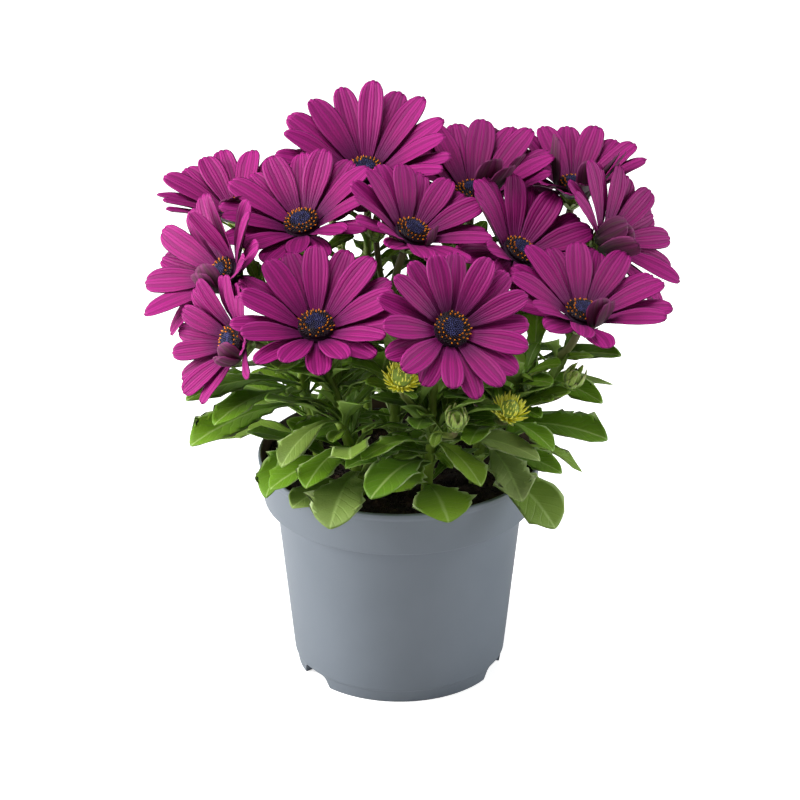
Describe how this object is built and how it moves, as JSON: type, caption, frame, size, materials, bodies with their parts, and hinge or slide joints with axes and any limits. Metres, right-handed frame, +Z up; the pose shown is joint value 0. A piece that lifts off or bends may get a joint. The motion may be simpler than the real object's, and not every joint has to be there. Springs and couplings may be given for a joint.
{
  "type": "potted osteospermum",
  "caption": "Purple osteospermum in full flower with toothed green leaves, in a grey-blue round plastic plant pot.",
  "frame": {"origin": "centre of the flat pad in the middle of the pot's underside, level with the surface it stands on", "axes": "+Z up along the pot's axis; +X to the right of the plant's front, which faces -Y"},
  "size_m": [0.2253, 0.2035, 0.2354],
  "materials": {
    "pot_plastic": "matte",
    "potting_soil": "matte",
    "leaf_green": "satin",
    "petal_purple": "satin",
    "disc_navy": "matte",
    "bud_yellow": "matte",
    "bud_green": "matte"
  },
  "bodies": {
    "root": {"pot": "pot_plastic", "soil": "potting_soil", "shoot_1": "leaf_green", "shoot_2": "leaf_green", "shoot_3": "leaf_green", "shoot_4": "leaf_green", "shoot_5": "leaf_green", "shoot_6": "leaf_green", "shoot_7": "leaf_green", "shoot_8": "leaf_green", "bloom_01_rays": "petal_purple", "bloom_01_disc": "disc_navy", "bloom_02_rays": "petal_purple", "bloom_02_disc": "disc_navy", "bloom_03_rays": "petal_purple", "bloom_03_disc": "disc_navy", "bloom_04_rays": "petal_purple", "bloom_04_disc": "disc_navy", "bloom_05_rays": "petal_purple", "bloom_05_disc": "disc_navy", "bloom_06_rays": "petal_purple", "bloom_06_disc": "disc_navy", "bloom_07_rays": "petal_purple", "bloom_07_disc": "disc_navy", "bloom_08_rays": "petal_purple", "bloom_08_disc": "disc_navy", "bloom_09_rays": "petal_purple", "bloom_09_disc": "disc_navy", "bloom_10_rays": "petal_purple", "bloom_10_disc": "disc_navy", "bloom_11_rays": "petal_purple", "bloom_11_disc": "disc_navy", "bloom_12_rays": "petal_purple", "bloom_12_disc": "disc_navy", "bloom_13_rays": "petal_purple", "bloom_13_disc": "disc_navy", "bloom_14_rays": "petal_purple", "bloom_14_disc": "disc_navy", "bloom_15_rays": "petal_purple", "bloom_15_disc": "disc_navy", "bud_1": "bud_yellow", "bud_2": "bud_yellow", "bud_3": "bud_green", "bud_4": "bud_green", "bud_5": "bud_green"}
  },
  "joints": []
}
